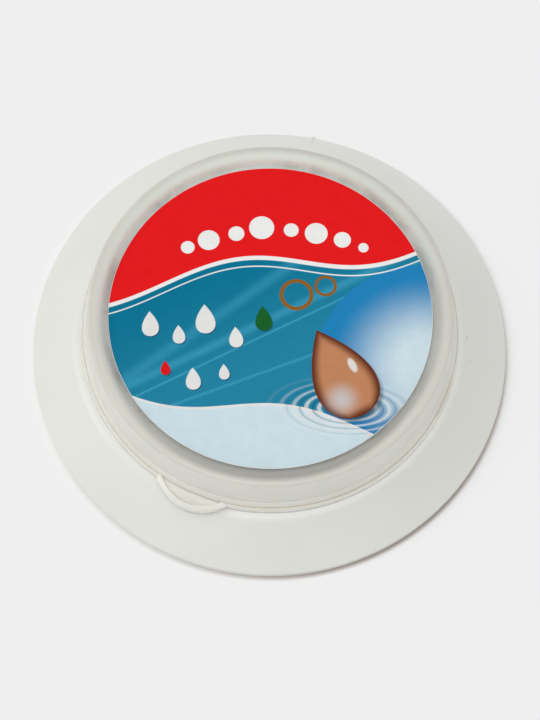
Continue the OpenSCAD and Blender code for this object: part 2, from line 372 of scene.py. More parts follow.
class MoistenerStage(bpy.types.PropertyGroup):
    """Light, floor and camera."""

    floor: colour("Floor", "Floor under the object", 244, 244, 244)
    backdrop: colour("Backdrop", "What the camera sees past the floor", 239, 239, 239)
    # Painted shadow on the floor right by the foot's edge, and the side where it is darkest
    contact_shadow: colour("Contact", "Floor in the crevice under the foot's edge", 176, 166, 160)
    contact_shadow_turn: angle("Contact side", "Side on which that crevice is the darkest", -50.0)
    shadow_start: length("Shadow start", "Distance from the foot where the shadow starts to fade", 0.3 * MM)
    shadow_end: length("Shadow end", "Distance from the foot where most of the shadow has faded", 2.4 * MM)
    sky_strength: number("Sky", "Strength of the even light from all sides", 0.67)
    top_strength: number("Top", "Strength of the lamp overhead", 0.5)
    top_turn: angle("Top direction", "Direction that the lamp overhead stands in, from +X", -85.0)
    top_height: angle("Top elevation", "Height of the lamp overhead over the floor", 77.0)
    top_spread: angle("Top spread", "Angle that the lamp overhead fills, seen from the object", 22.0)
    key_strength: number("Key", "Strength of the soft key lamp", 0.66)
    key_turn: angle("Key direction", "Direction that the key lamp stands in, from +X", 173.0)
    key_height: angle("Key elevation", "Height of the key lamp over the floor", 45.0)
    key_spread: angle("Key spread", "Angle that the key lamp fills, seen from the object", 30.0)
    camera_distance: length("Camera distance", "Distance from the camera to the point it looks at", 0.3)
    camera_height: angle("Camera elevation", "Height of the camera over the floor", 69.13)
    camera_roll: angle("Camera roll", "Roll of the camera", 1.67)
    camera_side: place("Aim to the side", "Where the camera looks, along X", 0.14 * MM)
    camera_depth: place("Aim in depth", "Where the camera looks, along Y", -2.63 * MM)
    lens: number("Lens", "Focal length of the lens, in millimetres", 83.12)


# Modelling helpers


def arc(centre, radius, first, last, steps):
    """Rings of a section along an arc, from one angle to another."""
    turns = [first + (last - first) * step / steps for step in range(steps + 1)]
    return [tuple(centre + radius * outwards(turned)) for turned in turns]


def deselect():
    """Leaves nothing selected, because an operator acts on all that is."""
    bpy.ops.object.select_all(action="DESELECT")


def new_object(name):
    """Names the primitive that was just added, puts its place into its mesh and opens it for editing."""
    bpy.ops.object.transform_apply(location=True, rotation=True, scale=True)
    piece = bpy.context.object
    piece.name = name
    piece.data.name = name
    bpy.ops.object.mode_set(mode="EDIT")
    bpy.ops.mesh.select_mode(type="EDGE")
    bpy.ops.mesh.select_all(action="SELECT")
    return piece


def select_edges(piece, wanted):
    """In edit mode, selects the edges whose two ends both pass the test, and nothing else."""
    bpy.ops.mesh.select_all(action="DESELECT")
    mesh = bmesh.from_edit_mesh(piece.data)
    chosen = [edge for edge in mesh.edges if all(wanted(corner.co) for corner in edge.verts)]
    for edge in chosen:
        edge.select_set(True)
    mesh.select_flush_mode()
    bmesh.update_edit_mesh(piece.data)
    if not chosen:
        raise RuntimeError(f"no edge of {piece.name} lies where one should be selected")


def at_ring(radius, height):
    """Test for points that lie on a ring about the axis."""
    return lambda point: abs(point.xy.length - radius) < REACH and abs(point.z - height) < REACH


def at_height(height):
    """Test for points that lie at a height."""
    return lambda point: abs(point.z - height) < REACH


def round_edges(size, segments):
    """Rounds the selected edges."""
    bpy.ops.mesh.bevel(offset=size, segments=segments, profile=0.5, affect="EDGES")


def close_shell(piece):
    """Joins what lies in one place, turns the faces outwards and leaves edit mode."""
    bpy.ops.mesh.select_all(action="SELECT")
    bpy.ops.mesh.remove_doubles(threshold=0.0005 * MM)
    bpy.ops.mesh.normals_make_consistent(inside=False)
    bpy.ops.object.mode_set(mode="OBJECT")


def turn(name, rings):
    """Turns a closed piece from its section.

    One ring of edges is drawn out along the section ring by ring, and both its ends are drawn in to the
    axis. A ring is (radius, height), or (radius, height, rounding, segments) where a corner is rounded.
    """
    deselect()
    radius, height = rings[0]
    bpy.ops.mesh.primitive_circle_add(vertices=TURN_STEPS, radius=radius, location=(0, 0, height))
    piece = new_object(name)
    for next_radius, next_height, *_ in rings[1:]:
        rise = (0, 0, next_height - height)
        bpy.ops.mesh.extrude_region_move(TRANSFORM_OT_translate={"value": rise})
        size = next_radius / radius
        bpy.ops.transform.resize(value=(size, size, 1), center_override=ORIGIN)
        radius, height = next_radius, next_height
    for end in (rings[0], rings[-1]):
        select_edges(piece, at_ring(*end))
        bpy.ops.mesh.extrude_region_move()
        bpy.ops.mesh.merge(type="CENTER")
    for radius, height, *rounding in rings:
        if rounding:
            select_edges(piece, at_ring(radius, height))
            round_edges(*rounding)
    close_shell(piece)
    return piece


def upright_cylinder(name, centre, radius, low, high, steps, rounded=()):
    """A cylinder between two heights. Its rounded ends are each given as (height, rounding, segments)."""
    deselect()
    bpy.ops.mesh.primitive_cylinder_add(
        vertices=steps, radius=radius, depth=high - low, location=(*centre, (low + high) / 2)
    )
    piece = new_object(name)
    for height, *rounding in rounded:
        select_edges(piece, at_height(height))
        round_edges(*rounding)
    close_shell(piece)
    return piece


def bead(low, high, height, steps=8):
    """Rings of a bead on a wall between two ring places: an arc that stands out to the right of the way."""
    low, high = Vector(low), Vector(high)
    way = high - low
    out = Vector((way.y, -way.x)).normalized()
    radius = (way.length_squared / 4 + height * height) / (2 * height)
    half = math.asin(way.length / 2 / radius)
    middle = math.atan2(out.y, out.x)
    return arc((low + high) / 2 + out * (height - radius), radius, middle - half, middle + half, steps)


def make_active(piece):
    """Makes a piece the only one that operators act on."""
    deselect()
    piece.select_set(True)
    bpy.context.view_layer.objects.active = piece


def apply_modifier(piece, kind, **settings):
    """Adds a modifier with the given settings and applies it."""
    make_active(piece)
    bpy.ops.object.modifier_add(type=kind)
    modifier = piece.modifiers[-1]
    for key, value in settings.items():
        setattr(modifier, key, value)
    bpy.ops.object.modifier_apply(modifier=modifier.name)


def combine(piece, tool, operation):
    """Joins the tool to the piece, or cuts it away, and deletes the tool."""
    apply_modifier(piece, "BOOLEAN", operation=operation, object=tool, solver="EXACT")
    bpy.data.objects.remove(tool)
    if not piece.data.polygons:
        raise RuntimeError(f"{piece.name} was lost when it was combined with another solid")


def smooth(piece, sharp_from=35.0):
    """Shades a piece smooth but for its sharp edges, with the large faces kept even."""
    make_active(piece)
    bpy.ops.object.shade_smooth_by_angle(angle=math.radians(sharp_from))
    apply_modifier(piece, "WEIGHTED_NORMAL", keep_sharp=True, weight=60)


def finish_piece(piece, material, body, node):
    """Gives a piece its material, and its place in the frame."""
    piece.data.materials.clear()
    piece.data.materials.append(material)
    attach(piece, body)
    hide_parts(node)


# Material helpers


class Value:
    """What a material works out at each place, such as a number, which can stand in a sum."""

    def __init__(self, socket):
        self.socket = socket

    def __add__(self, other):
        return calc("ADD", self, other)

    def __sub__(self, other):
        return calc("SUBTRACT", self, other)

    def __rsub__(self, other):
        return calc("SUBTRACT", other, self)

    def __mul__(self, other):
        return calc("MULTIPLY", self, other)

    def __truediv__(self, other):
        return calc("DIVIDE", self, other)

    def __pow__(self, other):
        return calc("POWER", self, other)

    def __abs__(self):
        return calc("ABSOLUTE", self)


class Spot:
    """A place on a piece, in object coordinates, and its distance from the axis."""

    def __init__(self, tree):
        self.place = Value(add(tree, "ShaderNodeTexCoord").outputs["Object"])
        parts = add(tree, "ShaderNodeSeparateXYZ", {"Vector": self.place}).outputs
        self.x, self.y, self.z = (Value(part) for part in parts)
        self.radius = calc("SQRT", self.x * self.x + self.y * self.y)
        self.steady_radius = calc("MAXIMUM", self.radius, MM)

    def facing(self, turned):
        """Cosine of the angle between the way out from the axis and a direction: 1 on that side."""
        return (self.x * math.cos(turned) + self.y * math.sin(turned)) / self.steady_radius

    def side(self, turned):
        """1 on the side of a direction, and 0 on the other side."""
        return self.facing(turned) * 0.5 + 0.5

    def around(self, spread):
        """Coordinates along the circles about the axis: a pattern in them is stretched that way."""
        east = self.x / self.steady_radius * spread
        north = self.y / self.steady_radius * spread
        return work("ShaderNodeCombineXYZ", {"X": east, "Y": north, "Z": self.radius - self.z}, "Vector")


def plug(socket, value):
    """Links an input to what is worked out, or sets a plain value on it."""
    if isinstance(value, Value):
        value = value.socket
    if isinstance(value, bpy.types.NodeSocket):
        socket.id_data.links.new(value, socket)
    elif socket.type == "RGBA":
        socket.default_value = (*value[:3], 1.0)
    else:
        socket.default_value = value


def add(tree, kind, inputs=None, **settings):
    """Adds a node, sets its options and plugs in its inputs."""
    made = tree.nodes.new(kind)
    for key, value in settings.items():
        setattr(made, key, value)
    for key, value in (inputs or {}).items():
        plug(made.inputs[key], value)
    return made


def work(kind, inputs, output, **settings):
    """What a new node works out from its inputs, in the tree that they stand in."""
    tree = next(value.socket.id_data for value in inputs.values() if isinstance(value, Value))
    return Value(add(tree, kind, inputs, **settings).outputs[output])


def calc(operation, *values, clamp=False):
    """Result of a Math node."""
    return work("ShaderNodeMath", dict(enumerate(values)), 0, operation=operation, use_clamp=clamp)


def ramp(value, low, high, to_low=0.0, to_high=1.0):
    """Smooth step of a value from one end of a range to the other."""
    inputs = {"Value": value, "From Min": low, "From Max": high, "To Min": to_low, "To Max": to_high}
    return work("ShaderNodeMapRange", inputs, "Result", interpolation_type="SMOOTHSTEP")


def blend(share, first, second, kind="MIX"):
    """Mix of two colours, each a property's value or worked out."""
    inputs = {MIX_SHARE: share, MIX_FIRST: first, MIX_SECOND: second}
    return work("ShaderNodeMix", inputs, MIX_RESULT, data_type="RGBA", blend_type=kind)


def noise(where, per_metre, detail=2.0, roughness=0.5, distortion=0.0):
    """Noise from 0 to 1 at a number of waves per metre."""
    inputs = {"Vector": where, "Scale": per_metre, "Detail": detail, "Roughness": roughness}
    inputs["Distortion"] = distortion
    return work("ShaderNodeTexNoise", inputs, "Fac")


def most(*masks):
    """Largest of several masks."""
    result = masks[0]
    for mask in masks[1:]:
        result = calc("MAXIMUM", result, mask)
    return result


def darker(shade, share):
    """A colour with each of its values at a share."""
    return [value * share for value in shade]


def set_inputs(shader, **values):
    """Sets or links a shader's inputs, given by their names in small letters."""
    for key, value in values.items():
        plug(shader.inputs[key.replace("_", " ").title().replace("Ior", "IOR")], value)


def bump(shader, height, distance):
    """Roughens a surface by a height from 0 to 1, where 1 stands for the distance."""
    set_inputs(shader, normal=work("ShaderNodeBump", {"Height": height, "Distance": distance}, "Normal"))


def new_material(name, **even):
    """A material with one Principled shader, whose even values are set on its own sockets."""
    material = bpy.data.materials.new(name)
    material.use_nodes = True
    shader = material.node_tree.nodes["Principled BSDF"]
    set_inputs(shader, **even)
    return material, shader, Spot(material.node_tree)


# Materials


def dust_speck(spot, sizes, degrees, out, radius):
    """Mask of a round speck of dust on the skirt's slope."""
    centre = (*(outwards(math.radians(degrees)) * out), sizes.slope_height(out))
    distance = work("ShaderNodeVectorMath", {0: spot.place, 1: centre}, "Value", operation="DISTANCE")
    return ramp(distance, radius, radius * 0.5)


def gate_scar(spot, sizes):
    """Mask of the short line that was left where the gate was cut off the slope."""
    turned = sizes.gate_angle
    off = spot.y * math.cos(turned) - spot.x * math.sin(turned)
    start = sizes.foot_radius - sizes.scar_length
    along = spot.facing(turned) * spot.radius
    return ramp(abs(off), 0.3 * MM, 0.12 * MM) * ramp(along, start, start + 1.2 * MM)


def base_material(scene):
    """Satin white plastic with a faint orange peel, a few specks of dust, the gate's scar and a painted
    highlight on the ledge.
    """
    sizes, finish = scene.moistener_base, scene.moistener_finish
    material, shader, spot = new_material("base_plastic", ior=1.5, specular_ior_level=0.45)
    cloud = noise(spot.place, per_metre=90.0, detail=3.0)
    tint = blend(ramp(cloud, 0.35, 0.7), finish.base, darker(finish.base, 0.975))
    # Painted highlight: a pale ring on the ledge just outside the flange, brightest on one side
    ring = ramp(spot.radius, sizes.ledge_radius + 1.3 * MM, sizes.ledge_radius + 0.3 * MM)
    highlighted = ring * spot.side(finish.highlight_turn) ** 6.0
    tint = blend(highlighted * finish.highlight_share, tint, finish.highlighted)
    specks = most(*[dust_speck(spot, sizes, *speck) for speck in SPECKS])
    tint = blend(specks * finish.dust_share, tint, finish.dust)
    tint = blend(gate_scar(spot, sizes) * finish.scar_share, tint, finish.dust)
    set_inputs(shader, base_color=tint, roughness=ramp(cloud, 0.3, 0.7, 0.32, 0.42))
    waves = noise(spot.place, per_metre=160.0)
    peel = noise(spot.place, per_metre=1400.0)
    bump(shader, waves * 3.0 + peel, 0.004 * MM)
    return material


def crown_painted_shade(spot, lid, finish):
    """Share of painted shade on the rim's top, for the dark inside, darker on one side and at its outer
    edge.
    """
    side = spot.facing(finish.crown_shade_turn)
    shoulder = ramp(spot.facing(finish.shoulder_shade_turn), 0.4, 1.0)
    outer = ramp(spot.radius, lid.rim_radius + 0.8 * MM, lid.rim_radius + 1.7 * MM)
    edge = calc("MULTIPLY", most(side, shoulder), 0.12, clamp=True) * outer
    high = ramp(spot.z, lid.top_height - 1.6 * MM, lid.top_height - 0.4 * MM)
    return high * (side * 0.07 + 0.15 + edge)


def gel_and_painted_shade(spot, lid, finish, tint):
    """Adds the slope round the label: painted light and painted shade for the plastic and the dark inside,
    and blotches of dried gel.
    """
    wide = ramp(spot.facing(finish.wide_turn), 0.5, 1.0)
    reach = wide * (0.8 * MM) + (lid.rim_radius + 0.5 * MM)
    inside = ramp(reach - spot.radius, -0.8 * MM, 0.8 * MM)
    # Painted light: the slope round the label paler, for light that comes through the plastic
    slope = blend(ramp(spot.y, 2.0 * MM, 14.0 * MM), finish.lid_glow, finish.cool)
    tint = blend(inside, tint, slope)
    # Painted shade: the dark inside seen through the lid, heaviest on one side, lighter all round
    gathered = spot.side(finish.darker_side_turn) ** 1.5 * finish.near_shade_share
    far = ramp(spot.facing(finish.far_shade_turn), 0.6, 0.95, 0.08, 0.18)
    tint = blend(inside * (gathered + far), tint, finish.film)
    streaks = noise(spot.around(10.0 * MM), per_metre=330.0, detail=5.0, roughness=0.62, distortion=0.6)
    blotches = ramp(streaks, 0.42, 0.72) * ramp(spot.radius, lid.rim_radius, lid.panel_radius)
    tint = blend(blotches * finish.smear_share, tint, finish.smear)
    # Painted shade in the corner where the slope meets the panel
    crevice = ramp(spot.radius, lid.panel_radius + 0.4 * MM, lid.panel_radius, 0.0, 0.12)
    return blend(crevice, tint, finish.film)


def lower_edge_glow_and_marks(spot, lid, finish, tint):
    """Adds the lower edge: painted light on the flange's side, a warm colour, a darker line in the groove
    and residue.
    """
    flange_radius, ledge_height = LID_HIGH.x, LID_LOW.z
    off_tab = ramp(spot.facing(lid.tab_angle), 0.97, 0.99, 1.0, 0.0)
    # Painted light: the flange's side and top edge paler, against the shade in the crevice by the ledge
    pale = ramp(spot.radius, flange_radius - 0.35 * MM, flange_radius - 0.1 * MM)
    pale = pale * ramp(spot.radius, flange_radius + 1.6 * MM, flange_radius)
    tint = blend(pale * (off_tab * 0.5 + 0.5), tint, finish.lid_glow)
    low = ramp(spot.z, ledge_height + 3.2 * MM, ledge_height + 1.2 * MM)
    upper = ramp(spot.z, ledge_height + 0.6 * MM, ledge_height + 1.2 * MM, 0.5, 1.0)
    edge = ramp(spot.radius, flange_radius - 0.8 * MM, flange_radius - 0.3 * MM, 0.3, 1.0)
    # Warm colour on the flange's top edge, strongest on one side
    warm = spot.side(finish.wide_turn) ** 3.0 * finish.warm_edge_share + 0.05
    tint = blend(warm * off_tab * edge * low * upper, tint, finish.warm_edge)
    # A darker line along the groove beside the flared foot, strongest on one side
    off_groove = abs(spot.radius - (flange_radius - lid.flange_width + lid.groove_width))
    groove_line = ramp(off_groove, 0.15 * MM, 0.05 * MM) * ramp(spot.facing(finish.darker_side_turn), 0.5, 0.95)
    tint = blend(groove_line * finish.groove_line_share, tint, finish.film)
    residue = low * ramp(spot.facing(finish.residue_turn), 0.988, 0.999)
    return blend(residue * finish.residue_share, tint, finish.amber)


def lid_material(scene):
    """Milky soft plastic that lets some light through, with painted light and shade, gel dried on its
    inside and a warm lower edge.
    """
    lid, finish = scene.moistener_lid, scene.moistener_finish
    material, shader, spot = new_material(
        "lid_plastic", ior=1.45, specular_ior_level=0.22, transmission_weight=0.08,
        subsurface_weight=1.0, subsurface_scale=1.0 * MM, subsurface_radius=(1.0, 0.95, 0.85),
    )
    cloud = noise(spot.place, per_metre=140.0, detail=3.0)
    tint = blend(ramp(cloud, 0.35, 0.65), finish.lid, darker(finish.lid, 0.97))
    # Painted shade on the top of the rim
    tint = blend(crown_painted_shade(spot, lid, finish), tint, finish.film)
    tint = gel_and_painted_shade(spot, lid, finish, tint)
    tint = lower_edge_glow_and_marks(spot, lid, finish, tint)
    set_inputs(shader, base_color=tint, roughness=ramp(cloud, 0.3, 0.7, 0.36, 0.44))
    bump(shader, noise(spot.place, per_metre=700.0, detail=3.0), 0.006 * MM)
    return material


def gel_material(scene):
    """Pale amber gel with a wet sheen."""
    finish = scene.moistener_finish
    material, shader, spot = new_material(
        "moistening_gel", roughness=0.18, ior=1.42, subsurface_weight=0.5, subsurface_scale=3.0 * MM,
        coat_weight=0.3,
    )
    cloud = noise(spot.place, per_metre=220.0, detail=4.0, roughness=0.6)
    set_inputs(shader, base_color=blend(ramp(cloud, 0.35, 0.7), finish.gel, darker(finish.gel, 0.8)))
    bump(shader, noise(spot.place, per_metre=420.0, detail=3.0, roughness=0.6, distortion=0.4), 0.05 * MM)
    return material


def over_wave(u, v, level, rise, swell, rate, phase):
    """Height of each place over a wavy line across the label."""
    return v - (u * rise + level + calc("SINE", u * rate + phase) * swell)


def inked(depth, soft=0.1):
    """Mask of where a depth inside an outline is over 0, with a slightly soft edge."""
    return ramp(depth, -soft / 2, soft / 2)


def in_band(distance, half):
    """Depth inside a band about the places where a distance is 0."""
    return half - abs(distance)


def motif_place(u, v, centre, turned, size):
    """Coordinates about a motif's centre, along and across the way it faces, in units of its size."""
    east, north = u - centre[0], v - centre[1]
    cosine, sine = outwards(turned) / size
    return east * cosine + north * sine, north * cosine - east * sine


def in_drop(along, across):
    """Depth inside the outline of a drop, with its point at 1 and its round end at -1."""
    back = along + 1.0
    half = (1.0 - along) * DROP_WIDTH * calc("SQRT", calc("MAXIMUM", back, 0.0))
    return calc("MINIMUM", in_band(across, half), back)


def from_centre(u, v, centre, squeeze=1.0):
    """Distance from a centre, in which the label's height counts more by the squeeze."""
    east, north = u - centre[0], (v - centre[1]) * squeeze
    return calc("SQRT", east * east + north * north)


def print_fields(sizes, u, v):
    """The print's fields under the red one: teal with rays of light, blue and pale blue."""
    fade = ramp(v - u * 0.5, 14.0, -12.0)
    tint = blend(fade * 0.3, sizes.teal, sizes.ray)
    for slant, level, half, strength in RAYS:
        off = v - u * slant - level
        tint = blend(ramp(abs(off), half, 0.0, 0.0, strength), tint, sizes.ray)
    depth = BAY_RADIUS - from_centre(u, v, BAY_CENTRE)
    water = blend(ramp(depth, 2.0, 15.0), sizes.blue, sizes.pale)
    tint = blend(inked(depth, 0.3), tint, water)
    shore = over_wave(u, v, *SHORE)
    tint = blend(ramp(shore, 0.1, -0.1), tint, sizes.pale)
    return blend(inked(in_band(shore, FOAM_HALF)), tint, sizes.paper)


def print_ripples(sizes, u, v, tint):
    """Rings of ripples round the place under the large drop."""
    centre = (sizes.drop_across / MM + 1.5, sizes.drop_up / MM - 6.5)
    distance = from_centre(u, v, centre, 2.3)
    swing = calc("SINE", distance * RIPPLE_RATE)
    crests = ramp(swing, 0.1, 0.9) * ramp(distance, 15.0, 5.0)
    tint = blend(crests * 0.75, tint, sizes.paper)
    troughs = ramp(swing, -0.5, -1.0) * ramp(distance, 13.0, 6.0)
    return blend(troughs * 0.35, tint, sizes.ink)


def print_large_drop(sizes, u, v, tint):
    """A large amber drop with a dark rim, a bright inside and a highlight."""
    size = sizes.drop_size / MM
    centre = (sizes.drop_across / MM, sizes.drop_up / MM)
    shade_centre = (centre[0] + 0.7, centre[1] - 0.7)
    shadow = in_drop(*motif_place(u, v, shade_centre, sizes.drop_turn, size))
    tint = blend(ramp(shadow, -0.03, 0.09, 0.0, 0.55), tint, sizes.ink)
    along, across = motif_place(u, v, centre, sizes.drop_turn, size)
    depth = in_drop(along, across)
    body = blend(ramp(depth, 0.0, 0.24), sizes.amber_dark, sizes.amber)
    glow = ramp(from_centre(along, across, (-0.52, 0.22)), 0.45, 0.0)
    body = blend(glow * 0.6, body, sizes.pale)
    shine = ramp(from_centre(along, across, (0.02, -0.3), 2.2), 0.2, 0.12)
    body = blend(shine * 0.9, body, sizes.paper)
    return blend(inked(depth, 0.02), tint, body)


def print_small_motifs(sizes, u, v, tint):
    """White, green and red drops, each with a shadow, and golden rings."""
    for across, up, size, degrees, kind in DROPS:
        turned = math.radians(degrees)
        shadow = in_drop(*motif_place(u, v, (across + 0.2, up - 0.22), turned, size))
        tint = blend(ramp(shadow, -0.05, 0.1, 0.0, 0.6), tint, sizes.ink)
        body = in_drop(*motif_place(u, v, (across, up), turned, size))
        tint = blend(inked(body, 0.05), tint, getattr(sizes, kind))
    for across, up, radius, half in RINGS:
        off = from_centre(u, v, (across, up)) - radius
        tint = blend(inked(in_band(off, half)), tint, sizes.gold)
    return tint


def print_red_field(sizes, u, v, tint):
    """The red field, the stripes along its wavy edge and a row of white bubbles."""
    edge = over_wave(u, v, *RED_EDGE)
    tint = blend(inked(edge, 0.08), tint, sizes.red)
    tint = blend(inked(in_band(edge, sizes.stripe / MM / 2)), tint, sizes.paper)
    tint = blend(inked(in_band(edge + FINE_STRIPE_DROP, FINE_STRIPE_HALF)), tint, sizes.paper)
    for across, up, radius in BUBBLES:
        tint = blend(inked(radius - from_centre(u, v, (across, up))), tint, sizes.paper)
    return tint


def halftone(sizes, u, v, tint):
    """Adds the dots of the print's screen, which show less on the reddest colours."""
    step = 2 * math.pi * MM / sizes.screen * math.sqrt(0.5)
    dots = calc("SINE", u * step) * calc("SINE", v * step) * 0.5 + 0.5
    red = work("ShaderNodeSeparateColor", {"Color": tint}, "Red")
    return blend(0.5 - red * 0.38, tint, dots, "MULTIPLY")


def label_material(scene):
    """Printed film: fields of colour, drops, ripples, a fine halftone and a bare cut edge."""
    sizes = scene.moistener_label
    material, shader, spot = new_material("label_film", ior=1.5, specular_ior_level=0.06)
    u, v = spot.x * (1 / MM), spot.y * (1 / MM)
    tint = print_fields(sizes, u, v)
    tint = print_ripples(sizes, u, v, tint)
    tint = print_small_motifs(sizes, u, v, tint)
    tint = print_large_drop(sizes, u, v, tint)
    tint = halftone(sizes, u, v, tint)
    tint = print_red_field(sizes, u, v, tint)
    cloud = noise(spot.place, per_metre=500.0, detail=3.0)
    tint = blend(0.1, tint, ramp(cloud, 0.3, 0.7, 0.6, 1.0), "MULTIPLY")
    past_print = spot.radius * (1 / MM) - (sizes.radius - sizes.cut_edge) / MM
    tint = blend(inked(past_print), tint, sizes.paper)
    set_inputs(shader, base_color=tint, roughness=ramp(cloud, 0.3, 0.7, 0.36, 0.44))
    bump(shader, noise(spot.place, per_metre=300.0), 0.004 * MM)
    return material


def floor_material(scene):
    """Pale floor with a painted shadow right by the foot, which shows the shadow near it and runs out into
    the backdrop's colour.
    """
    stage = scene.moistener_stage
    material, shader, spot = new_material("floor_paper", roughness=1.0, specular_ior_level=0.0)
    out = spot.radius - scene.moistener_base.foot_radius
    # Painted shadow in a narrow ring right round the foot
    contact_shadow = ramp(out, 1.0 * MM, 0.1 * MM) * spot.side(stage.contact_shadow_turn) ** 3.0
    set_inputs(shader, base_color=blend(contact_shadow, stage.floor, stage.contact_shadow))
    tree = material.node_tree
    faded = ramp(out, stage.shadow_start, stage.shadow_end, 0.0, 0.85)
    seen = Value(add(tree, "ShaderNodeLightPath").outputs["Is Camera Ray"])
    paper = add(tree, "ShaderNodeEmission", {"Color": stage.backdrop, "Strength": 1.0})
    mixed = add(tree, "ShaderNodeMixShader", {0: faded * seen, 1: shader.outputs[0], 2: paper.outputs[0]})
    plug(tree.nodes["Material Output"].inputs["Surface"], mixed.outputs[0])
    return material


# Pieces


class MOISTENER_OT_base(bpy.types.Operator):
    """Models the base: skirt, ledge, cup with its snap bead, and the hollow underside"""

    bl_idname = "moistener.base"
    bl_label = "Base"

    def execute(self, context):
        sizes = context.scene.moistener_base
        piece = turn("base_moulding", self.underside(sizes) + self.top(sizes))
        combine(piece, self.gate_stub(sizes), "UNION")
        smooth(piece)
        finish_piece(piece, base_material(context.scene), "base", "base")
        return {"FINISHED"}

    def underside(self, sizes):
        """Rings from the axis out to the foot, under a wall of even thickness."""
        pan_radius = sizes.inside(sizes.floor_height) + sizes.cup_wall
        pan_height = sizes.floor_height - sizes.floor_thickness
        wall_drop = sizes.wall * math.sqrt(1 + sizes.slope_fall() ** 2)
        under_height = sizes.ledge_height - sizes.wall
        run = (under_height + wall_drop - sizes.edge_height) / sizes.slope_fall()
        inner_foot = sizes.foot_radius - sizes.wall
        return [
            (FLAT_RING, pan_height),
            (pan_radius, pan_height, sizes.pan_round, 5),
            (pan_radius, under_height),
            (sizes.foot_radius - run, under_height, sizes.under_round, 4),
            (inner_foot, sizes.slope_height(inner_foot) - wall_drop),
            (inner_foot, 0.0),
        ]

    def top(self, sizes):
        """Rings from the foot up the slope, over the ledge and the cup's rim, and down into the cup."""
        bead_middle = sizes.ledge_height + sizes.bead_height
        bead_ends = (bead_middle - sizes.bead_length / 2, bead_middle + sizes.bead_length / 2)
        return [
            (sizes.foot_radius, 0.0, sizes.edge_round, 4),
            (sizes.foot_radius, sizes.edge_height, sizes.edge_round * 0.6, 4),
            *arc(sizes.roll_centre(), sizes.ledge_roll, sizes.roll_end(), math.pi / 2, 12),
            (sizes.outside(sizes.ledge_height), sizes.ledge_height),
            *bead(*[(sizes.outside(height), height) for height in bead_ends], sizes.bead_depth),
            (sizes.outside(sizes.rim_height), sizes.rim_height, sizes.edge_round, 4),
            (sizes.inside(sizes.rim_height), sizes.rim_height, sizes.edge_round, 4),
            (sizes.inside(sizes.floor_height), sizes.floor_height, sizes.cup_fillet, 8),
            (FLAT_RING, sizes.floor_height),
        ]

    def gate_stub(self, sizes):
        """The stub that the moulding's gate left on the foot's edge."""
        height = sizes.edge_height - sizes.edge_round
        depth = sizes.wall / 2 + sizes.gate_proud
        across = outwards(sizes.gate_angle) * (sizes.foot_radius + sizes.gate_proud - depth / 2)
        middle = (*across, sizes.edge_round + height / 2)
        deselect()
        bpy.ops.mesh.primitive_cube_add(size=1.0, location=middle, rotation=(0, 0, sizes.gate_angle))
        bpy.context.object.scale = (depth, sizes.gate_width, height)
        stub = new_object("gate_stub")
        round_edges(sizes.gate_round, 3)
        close_shell(stub)
        return stub


class MOISTENER_OT_gel(bpy.types.Operator):
    """Models the charge of gel, worn hollow by fingertips"""

    bl_idname = "moistener.gel"
    bl_label = "Gel"

    def execute(self, context):
        sizes = context.scene.moistener_base
        floor, top = sizes.floor_height, GEL_HIGH.z
        edge, steps = sizes.inside(top), 40
        rings = [(SMALL_RING, floor), (sizes.inside(floor), floor, sizes.cup_fillet, 8), (edge, top)]
        for step in range(1, steps):
            inwards = step / steps
            fall = sizes.gel_hollow * math.sin(inwards * math.pi / 2) ** 0.8
            rings.append((edge * (1 - inwards), top - fall))
        piece = turn("gel_charge", rings)
        smooth(piece, 60.0)
        finish_piece(piece, gel_material(context.scene), "base", "gel")
        return {"FINISHED"}


